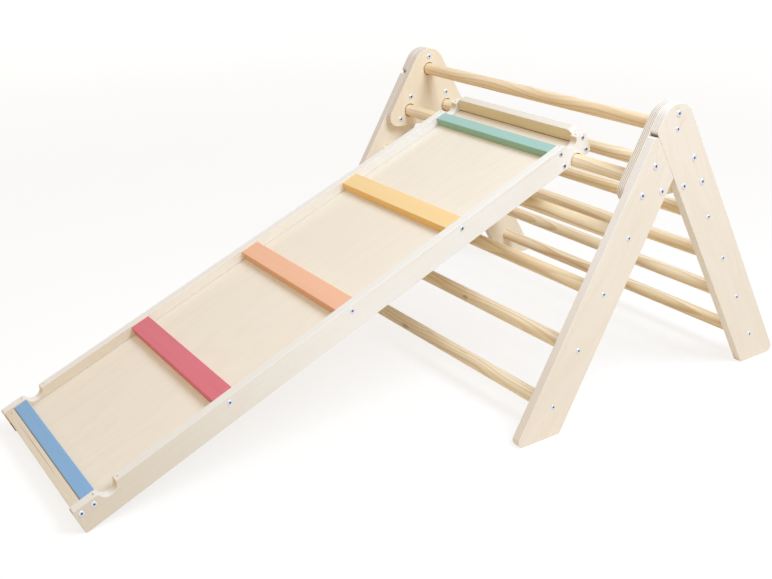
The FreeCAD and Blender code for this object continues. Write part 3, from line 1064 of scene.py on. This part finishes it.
@dataclass
class Ramp:
    """Rails, panel, cross pieces and end board of the ramp.

    Attributes:
        tilt: slope of the ramp at rest.
        pivot: middle of the rung that it hangs on.
        rail_face: distance of the rails' inner faces from the middle plane.
        board_face: place of the end board's first face up the ramp, from the pivot.
        panel_face: height of the panel's lower face, square to the panel from the pivot.
        panel_thickness, panel_veneers: thickness of the panel and number of its veneers.
        ease: width of the eased edges.
        groove_end_shade: painted shade on a rail's inner face at the open end of the panel's groove.
        whole_rail, rail_end: places up the slope, from the origin, between which a rail's ends take
        darker end grain and painted shade; low_half_shade, upper_end_light, low_end_shade: places
        between which painted light and shade make a rail lighter up the ramp and darker at its low end.
        panel_edge_shade: places across the panel, on its left, between which painted shade darkens it;
        panel_joint: places between which a dark joint line lies there.
        bar_pith_rise: height of the line that the bar's growth rings lie round, above the pivot.
        bar_rings: distance between two of these rings.
        bar_marks: a streak and a knot in the bar.
        paints: paint of each cleat.
    """

    tilt: float = math.radians(23.415)
    pivot: Triple = (0.31999, 0.0, 0.45307)
    rail_face: float = 0.186
    board_face: float = 0.0217
    panel_face: float = 0.0143
    panel_thickness: float = 0.0108
    panel_veneers: int = 7
    ease: float = 0.0008
    # Painted shade on a rail's inner face below the end bar, at the open end of the panel's groove.
    groove_end_shade: ShadePocket = ShadePocket(
        place=(-0.7192, 0.0140), reach=(0.017, 0.012), depth=(0.010, 0.006), strength=0.75
    )
    whole_rail: Pair = (0.8, 0.7)
    rail_end: Pair = (-0.625, -0.64)
    low_half_shade: Pair = (-0.05, -0.75)
    upper_end_light: Pair = (0.42, 0.0)
    low_end_shade: Pair = (-0.30, -0.45)
    panel_edge_shade: Pair = (0.172, 0.186)
    panel_joint: Pair = (0.1835, 0.186)
    bar_pith_rise: float = 0.5
    bar_rings: float = 0.0026
    bar_marks: tuple[Mark, ...] = (
        Mark((-0.7289, 0.03, 0.0457), radius=0.0012, stretch=130.0, strength=0.5),
        Mark((-0.7292, 0.1752, 0.0457), radius=0.0022, stretch=1.5, strength=0.7),
    )
    paints: tuple[SatinPaint, ...] = (
        SatinPaint(Slot.GREEN, shade(167, 206, 198), shade(142, 188, 177), shade(146, 188, 160)),
        SatinPaint(Slot.YELLOW, shade(254, 220, 160), shade(246, 204, 134), shade(250, 202, 116)),
        SatinPaint(Slot.ORANGE, shade(250, 194, 160), shade(238, 174, 136), shade(234, 174, 127)),
        SatinPaint(Slot.RED, shade(226, 118, 130), shade(208, 98, 112), shade(216, 104, 114)),
        SatinPaint(Slot.BLUE, shade(137, 182, 226), shade(116, 162, 212), shade(124, 164, 206)),
    )

    def up_slope(self) -> Triple:
        """Direction up the ramp."""
        return (math.cos(self.tilt), 0.0, math.sin(self.tilt))

    def out_of_panel(self) -> Triple:
        """Direction out of the panel's upper face."""
        return (-math.sin(self.tilt), 0.0, math.cos(self.tilt))

    def from_pivot(self, direction: Triple, distance: float) -> float:
        """Distance along a direction from the origin, for a place given from the pivot."""
        return Vector(self.pivot).dot(Vector(direction)) + distance

    def laid(self, up: float, across: float, out: float) -> Matrix:
        """Matrix that lays a piece on the ramp, at a place given from the pivot."""
        lean = Matrix.Rotation(-self.tilt, 4, "Y")
        return Matrix.Translation(self.pivot) @ lean @ Matrix.Translation((up, across, out))

    def sheets(self) -> dict[str, BirchPly]:
        """Choose the finishes of the ramp's sheets.

        Returns:
            The finish of each CAD node.
        """
        slope = self.up_slope()
        out = self.out_of_panel()
        rail = {
            "grain": slope, "through": ACROSS, "face_at": self.rail_face, "stripe": 0.07,
            "shade_pockets": (self.groove_end_shade,),
            # Ends that face down the grain take darker end grain and painted shade, darkest at the low end.
            "end_grain_and_shade_bands": (
                Band(slope, self.whole_rail, strength=0.7, tone=shade(226, 188, 120)),
                Band(slope, self.rail_end, strength=0.9, tone=shade(168, 128, 78)),
            ),
        }
        # Painted highlight: the near rail's face is almost white, and painted shade dulls its low half.
        near_rail = BirchPly(
            "near_rail_ply", **rail,
            face=shade(253, 254, 255), streak=shade(248, 243, 236), long_veneer=shade(246, 243, 237),
            face_bands=(Band(slope, self.low_half_shade, strength=0.5, tone=SHADED_BIRCH),),
            edge_bands=(Band(slope, self.low_half_shade, strength=0.06, tone=SHADED_BIRCH),),
        )
        # Painted light makes the far rail paler at its upper end, and painted shade darkens it towards its
        # low end.
        far_rail = BirchPly(
            "far_rail_ply", **rail, face=shade(240, 240, 239),
            face_bands=(
                Band(slope, self.upper_end_light, strength=1.0, tone=shade(243, 236, 225)),
                Band(slope, self.low_end_shade, strength=1.0, tone=shade(230, 217, 198)),
            ),
        )
        # Painted shade: the end board's faces are tan, darker than the other sheets, since its front lies
        # in shade.
        board = BirchPly(
            "board_ply", ACROSS, slope, self.from_pivot(slope, self.board_face),
            mirrored=False, stripe=0.15,
            face=shade(235, 217, 176), streak=shade(224, 200, 152), long_veneer=shade(242, 235, 224),
        )
        panel = BirchPly(
            "panel_ply", slope, out, self.from_pivot(out, self.panel_face), mirrored=False,
            thickness=self.panel_thickness, veneers=self.panel_veneers, face=shade(247, 237, 221),
            face_bands=(
                # Painted shade darkens the panel towards the far rail, where a dark joint line also lies.
                Band(ACROSS, self.panel_edge_shade, strength=1.0, tone=shade(234, 228, 218)),
                Band(ACROSS, self.panel_joint, strength=0.2, tone=shade(176, 140, 96)),
            ),
        )
        return {"rail_right": near_rail, "rail_left": far_rail, "end_board": board, "ramp_panel": panel}

    def bar_pine(self) -> PineWood:
        """Finish of the bar and the batten."""
        return PineWood(
            "bar_pine", (self.pivot[0], self.pivot[2] + self.bar_pith_rise), self.bar_rings, self.bar_marks,
            early=shade(239, 229, 211), late=shade(206, 182, 150), warm=shade(231, 216, 189),
            knot=shade(160, 112, 86),
        )

    def build(self, groups: SharedGroups) -> None:
        """Make and dress the ramp's pieces.

        Args:
            groups: the shared node groups.
        """
        for node, finish in self.sheets().items():
            ply = finish.material(groups)
            stand_in(node, f"{node}_sheet", Body.RAMP, Slot.BIRCH, ply, self.ease)
        for paint in self.paints:
            node = f"cleat_{paint.slot.name.lower()}"
            satin = paint.material(groups, self.out_of_panel())
            stand_in(node, f"{node}_batten", Body.RAMP, paint.slot, satin)
        pine = self.bar_pine().material(groups)
        for node in ("end_bar", "under_batten"):
            stand_in(node, f"{node}_strip", Body.RAMP, Slot.PINE, pine)


@dataclass
class FastenerSet:
    """One group of equal screws, bolts or nuts with crowned heads and hexagon sockets.

    Attributes:
        kind: first part of the CAD nodes' names.
        body: the rigid body that carries them.
        seat: distance of the face they sit on from the middle plane.
        outwards: whether the heads look away from the middle plane.
        head: radius of the head.
        crown: height of the whole head.
        socket: radius of the hexagon socket, at its corners.
        shank: radius of the shank.
        length: length of the shank.
        tip: width of the shank's end as a share of the shank.
        corners: number of the socket's corners.
        cuts: number of points added along each side of the socket.
        flat_share, shoulder_share: radius of the flat top and of the shoulder, as shares of head.
        shoulder_rise, rim_rise: height of the shoulder and of the rim, as shares of crown.
        socket_share: depth of the socket, as a share of crown.
        apart: the least distance between two fasteners.
        spin: turn of each fastener against the one before.
    """

    kind: str
    body: Body
    seat: float
    outwards: bool
    head: float
    crown: float
    socket: float
    shank: float
    length: float
    tip: float
    corners: int = 6
    cuts: int = 3
    flat_share: float = 0.7
    shoulder_share: float = 0.92
    shoulder_rise: float = 0.75
    rim_rise: float = 0.3
    socket_share: float = 0.8
    apart: float = 0.018
    spin: float = math.radians(37)

    def socket_reach(self) -> float:
        """Work out how far the socket's outline lies from its middle.

        Returns:
            The mean distance of the outline's points.
        """
        flat = self.socket * math.cos(math.pi / self.corners)
        count = self.cuts + 1
        offsets = [self.socket * (step / count - 0.5) for step in range(count)]
        return sum(math.hypot(flat, offset) for offset in offsets) / count

    def model_one(self) -> Object:
        """Model one fastener from its socket outwards, seat at the origin and head along +Z.

        Returns:
            The fastener.
        """
        crown = self.crown
        one = start_ring(self.corners, self.socket, crown)
        bpy.ops.mesh.subdivide(number_cuts=self.cuts)
        extrude_ring(self.head * self.flat_share / self.socket_reach(), 0.0)
        bpy.ops.transform.tosphere(value=1.0)
        extrude_ring(self.shoulder_share / self.flat_share, crown * (self.shoulder_rise - 1))
        extrude_ring(1 / self.shoulder_share, crown * (self.rim_rise - self.shoulder_rise))
        extrude_ring(1.0, -crown * self.rim_rise)
        extrude_ring(self.shank / self.head, 0.0)
        extrude_ring(self.tip, -self.length)
        turn_to_open_ring()
        extrude_ring(1.0, -crown * self.socket_share)
        close_shell()
        return one

    def mark_socket(self, mesh: Mesh) -> None:
        """Give the faces inside the socket the second material, which paints their shade.

        Args:
            mesh: the fastener's mesh.
        """
        for polygon in mesh.polygons:
            middle = polygon.center
            inside = middle.xy.length < self.socket
            polygon.material_index = int(inside and 0.0 < middle.z < self.crown)

    def places(self, node: str) -> list[Vector]:
        """Find where the CAD node has its fasteners.

        Args:
            node: the CAD node.

        Returns:
            X and Z of each fastener's axis.
        """
        found: list[list[Vector]] = []
        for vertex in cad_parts[node].data.vertices:
            spot = vertex.co.xz
            near = [group for group in found if (group[0] - spot).length < self.apart]
            if near:
                near[0].append(spot)
            else:
                found.append([spot])
        return [Vector([(min(part) + max(part)) / 2 for part in zip(*group)]) for group in found]

    def build(self, metal: Material, socket_shade: Material) -> None:
        """Copy the fastener to every place on both sides.

        Args:
            metal: finish of the plated surface.
            socket_shade: finish inside the sockets, dark as painted shade.
        """
        one = self.model_one()
        dress(one, metal, socket_shade)
        self.mark_socket(one.data)
        for side in Side:
            node = f"{self.kind}_{side.word}"
            facing = side.value if self.outwards else -side.value
            lay = Matrix.Rotation(-QUARTER_TURN * facing, 4, "X")
            copies = []
            for number, spot in enumerate(self.places(node)):
                mesh = one.data.copy()
                place = Matrix.Translation((spot.x, side.value * self.seat, spot.y))
                mesh.transform(place @ lay @ Matrix.Rotation(self.spin * number, 4, "Z"))
                copies.append(link_new(f"{node}_{number}", mesh))
            settle(join_all(copies, f"{self.kind}_set_{side.word}"), self.body, Slot.ZINC, node)
        bpy.data.objects.remove(one)


def all_fasteners() -> list[FastenerSet]:
    """List every kind of fastener on the object.

    Returns:
        The groups of fasteners.
    """
    bolt = {"body": Body.FRAME, "head": 0.0065, "crown": 0.0016, "socket": 0.0027, "tip": 1.0}
    screw = {
        "outwards": True, "head": 0.005, "crown": 0.0012, "socket": 0.0024,
        "shank": 0.0025, "length": 0.050, "tip": 0.2,
    }
    return [
        FastenerSet("plate_bolts", seat=0.406, outwards=True, shank=0.003, length=0.032, **bolt),
        FastenerSet("sleeve_nuts", seat=0.370, outwards=False, shank=0.004, length=0.015, **bolt),
        FastenerSet("rung_screws", Body.FRAME, seat=0.406, **screw),
        FastenerSet("rail_screws", Body.RAMP, seat=0.204, **screw),
    ]


@dataclass
class RailPins:
    """Small sunk pins in the top edges of the rails, one on each side of a notch.

    Attributes:
        ramp: the ramp that carries them.
        notches: places of the notches up the ramp from the pivot.
        spread: distance of a pin from its notch's middle.
        across: distance of the pins from the middle plane.
        top: height of the rails' top edges out of the panel's plane, from the pivot.
        sides: number of a pin's sides.
        radius, length, crown: a pin's radius, its length and the height of its crowned end.
        point_share, crown_share: width of its two ends as shares of its width.
        wood: its finish.
    """

    ramp: Ramp
    notches: Pair = (0.0, -1.073)
    spread: float = 0.023
    across: float = 0.195
    top: float = 0.046
    sides: int = 10
    radius: float = 0.0013
    length: float = 0.012
    crown: float = 0.00012
    point_share: float = 0.6
    crown_share: float = 0.5
    wood: PineWood = PineWood("pin_wood", early=shade(112, 76, 64), late=shade(76, 48, 42))

    def model_one(self) -> Object:
        """Model one pin with its crowned end at the origin, along +Z.

        Returns:
            The pin.
        """
        one = start_ring(self.sides, self.radius)
        extrude_ring(self.point_share, -self.length)
        turn_to_open_ring()
        extrude_ring(self.crown_share, self.crown)
        close_shell()
        return one

    def build(self, groups: SharedGroups) -> None:
        """Copy the pin to every place on both rails.

        Args:
            groups: the shared node groups.
        """
        one = self.model_one()
        dress(one, self.wood.material(groups))
        for side in Side:
            copies = []
            for notch in self.notches:
                for offset in (-self.spread, self.spread):
                    mesh = one.data.copy()
                    mesh.transform(self.ramp.laid(notch + offset, side.value * self.across, self.top))
                    copies.append(link_new("rail_pin", mesh))
            settle(join_all(copies, f"rail_pins_{side.word}"), Body.RAMP, Slot.PINE)
        bpy.data.objects.remove(one)


@dataclass(frozen=True)
class Strip:
    """Dark strip laid in a joint across the ramp as painted shade.

    Attributes:
        name: name of the strip.
        up: its middle up the ramp from the pivot.
        low, high: its heights out of the panel's plane, from the pivot.
        width: its width up the ramp.
    """

    name: str
    up: float
    low: float
    high: float
    width: float


@dataclass
class JointLines:
    """Thin dark strips that paint the shade in two joints across the ramp.

    Attributes:
        ramp: the ramp that carries them.
        strips: the strip in each joint.
        length: their length across the ramp.
        round_share: how much of a strip's width a rounded edge takes.
        dust: their dark finish, which paints the shade.
    """

    ramp: Ramp
    # Painted shade: dark strips along the end board's foot and beside the end bar.
    strips: tuple[Strip, ...] = (
        Strip("board_foot_line", up=0.0211, low=0.0252, high=0.0262, width=0.001),
        Strip("bar_side_line", up=-1.1165, low=0.0262, high=0.0422, width=0.0008),
    )
    length: float = 0.371
    round_share: float = 0.3
    dust: PineWood = PineWood(
        "joint_dust", early=shade(150, 116, 70), late=shade(108, 80, 46), warm=shade(136, 104, 62)
    )

    def model(self, strip: Strip) -> Object:
        """Model a strip and lay it in its joint.

        Args:
            strip: sizes and place of the strip.

        Returns:
            The strip's object.
        """
        bpy.ops.object.select_all(action="DESELECT")
        bpy.ops.mesh.primitive_cube_add(size=1.0)
        piece = bpy.context.object
        piece.name = strip.name
        bpy.ops.object.mode_set(mode="EDIT")
        bpy.ops.mesh.select_all(action="SELECT")
        bpy.ops.transform.resize(value=(strip.width, self.length, strip.high - strip.low))
        rounding = strip.width * self.round_share
        bpy.ops.mesh.bevel(offset=rounding, segments=ROUND_SEGMENTS, affect="EDGES")
        bpy.ops.object.mode_set(mode="OBJECT")
        piece.data.transform(self.ramp.laid(strip.up, 0.0, (strip.low + strip.high) / 2))
        return piece

    def build(self, groups: SharedGroups) -> None:
        """Make and dress the strips.

        Args:
            groups: the shared node groups.
        """
        dust = self.dust.material(groups)
        for strip in self.strips:
            piece = self.model(strip)
            dress(piece, dust)
            settle(piece, Body.RAMP, Slot.PINE)


@dataclass(frozen=True)
class Lamp:
    """Square soft lamp that looks at the object.

    Attributes:
        name: its name.
        place: where it hangs.
        target: the point that it looks at.
        size: length of its sides.
        power: its power in watts.
        tint: colour of its light.
    """

    name: str
    place: Triple
    target: Triple
    size: float
    power: float
    tint: Triple

    def build(self) -> None:
        """Hang the lamp."""
        data = bpy.data.lights.new(self.name, "AREA")
        data.energy = self.power
        data.color = self.tint
        data.size = self.size
        lamp = link_new(self.name, data)
        lamp.location = self.place
        heading = Vector(self.target) - Vector(self.place)
        lamp.rotation_euler = heading.to_track_quat("-Z", "Y").to_euler()
        lamp.visible_camera = False


@dataclass
class Studio:
    """Pale floor, soft light and the photograph's camera.

    Attributes:
        floor_size: length of the floor's sides.
        floor_bounce: colour by which the floor lights the object.
        floor_shade: colour by which it shows the object's shadow.
        floor_glow: its own brightness near the object and far from it.
        floor_reach: distances between which that brightness changes.
        sky, sky_level: colour and strength of the light from all round.
        camera_place, camera_turn: the camera's place, and its rotation in degrees.
        lens, sensor: its focal length and its sensor's width in millimetres.
        shift: its shift, in widths of the picture.
        lamps: the lamps.
    """

    floor_size: float = 60.0
    floor_bounce: Colour = (0.82, 0.73, 0.57, 1.0)
    floor_shade: Colour = (0.26, 0.26, 0.26, 1.0)
    floor_glow: Pair = (0.78, 0.93)
    floor_reach: Pair = (1.0, 6.0)
    sky: Colour = (1.0, 0.83, 0.65, 1.0)
    sky_level: float = 0.46
    camera_place: Triple = (-1.13544, -1.66889, 1.00278)
    camera_turn: Triple = (72.16756, 0.11734, -34.77115)
    lens: float = 48.977
    sensor: float = 36.0
    shift: Pair = (-0.01318, -0.10232)
    lamps: tuple[Lamp, ...] = (
        Lamp("key", (0.5, -1.7, 2.75), (0.2, 0.0, 0.3), size=1.4, power=64.0, tint=(0.79, 0.89, 1.0)),
        Lamp("overhead", (-0.2, -0.5, 3.2), (0.0, 0.0, 0.0), size=1.8, power=13.0, tint=(0.45, 0.7, 1.0)),
        Lamp("left", (-2.5, -0.6, 1.5), (0.0, 0.0, 0.3), size=2.0, power=8.5, tint=(1.0, 0.88, 0.68)),
    )

    @staticmethod
    def split(graph: Graph, light: Node, shown: Node) -> NodeSocket:
        """Mix two shaders by what a ray is for.

        Args:
            graph: the graph of the floor or the sky.
            light: shader that lights the object.
            shown: shader that is seen as the background.

        Returns:
            The mixed shader.
        """
        path = graph.add("ShaderNodeLightPath")
        seen = graph.math("MAXIMUM", path.outputs["Is Camera Ray"], path.outputs["Is Glossy Ray"])
        seen = graph.math("MAXIMUM", seen, path.outputs["Is Transmission Ray"])
        feeds = {0: seen, 1: light.outputs[0], 2: shown.outputs[0]}
        return graph.add("ShaderNodeMixShader", feeds).outputs[0]

    def lay_floor(self) -> None:
        """Lay a floor that looks white and keeps the object's soft shadow."""
        bpy.ops.object.select_all(action="DESELECT")
        bpy.ops.mesh.primitive_plane_add(size=self.floor_size)
        floor = bpy.context.object
        floor.name = "floor"
        material = bpy.data.materials.new("pale_floor")
        material.use_nodes = True
        material.node_tree.nodes.clear()
        graph = Graph(material.node_tree)
        bounce = graph.add("ShaderNodeBsdfDiffuse", {"Color": self.floor_bounce})
        shadow = graph.add("ShaderNodeBsdfDiffuse", {"Color": self.floor_shade})
        reach = graph.length(graph.add("ShaderNodeTexCoord").outputs["Object"])
        level = graph.spread(graph.step(reach, self.floor_reach), self.floor_glow)
        glow = graph.add("ShaderNodeEmission", {"Strength": level})
        shown = graph.add("ShaderNodeAddShader", {0: shadow.outputs[0], 1: glow.outputs[0]})
        graph.add("ShaderNodeOutputMaterial", {"Surface": self.split(graph, bounce, shown)})
        dress(floor, material)
        floor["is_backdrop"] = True

    def light_sky(self) -> None:
        """Light the object evenly and show plain white behind it."""
        world = bpy.data.worlds.new("studio_sky")
        world.use_nodes = True
        bpy.context.scene.world = world
        world.node_tree.nodes.clear()
        graph = Graph(world.node_tree)
        light = graph.add("ShaderNodeBackground", {"Color": self.sky, "Strength": self.sky_level})
        shown = graph.add("ShaderNodeBackground", {"Color": WHITE, "Strength": 1.0})
        graph.add("ShaderNodeOutputWorld", {"Surface": self.split(graph, light, shown)})

    def set_camera(self) -> None:
        """Put the camera where the photograph was taken from."""
        data = bpy.data.cameras.new("photo_camera")
        data.sensor_fit = "HORIZONTAL"
        data.sensor_width = self.sensor
        data.lens = self.lens
        data.shift_x, data.shift_y = self.shift
        camera = link_new("photo_camera", data)
        camera.location = self.camera_place
        camera.rotation_euler = [math.radians(angle) for angle in self.camera_turn]
        bpy.context.scene.camera = camera

    def build(self) -> None:
        """Set up the studio."""
        bpy.context.scene.view_settings.view_transform = "Standard"
        self.lay_floor()
        self.light_sky()
        for lamp in self.lamps:
            lamp.build()
        self.set_camera()


def corners() -> list[list[float]]:
    """Lowest and highest corner of what is shown now."""
    return [list(corner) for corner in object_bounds()]


def main() -> None:
    """Build and dress every sub-assembly, then the studio."""
    logging.basicConfig(level=logging.INFO, format="%(message)s")
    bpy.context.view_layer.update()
    groups = SharedGroups()
    SideWalls().build(groups)
    RungSet().build(groups)
    ramp = Ramp()
    ramp.build(groups)
    RailPins(ramp).build(groups)
    JointLines(ramp).build(groups)
    zinc = ZincPlate(
        "zinc", bright=shade(236, 241, 248), dull=shade(206, 214, 226), roughness=(0.22, 0.4)
    ).material()
    # Painted shade: the insides of the sockets get a dark blue finish.
    socket = ZincPlate(
        "socket_painted_shade", bright=shade(104, 126, 178), dull=shade(64, 80, 128), roughness=(0.4, 0.6)
    ).material()
    for fasteners in all_fasteners():
        fasteners.build(zinc, socket)
    Studio().build()


if __name__ == "__main__":
    main()
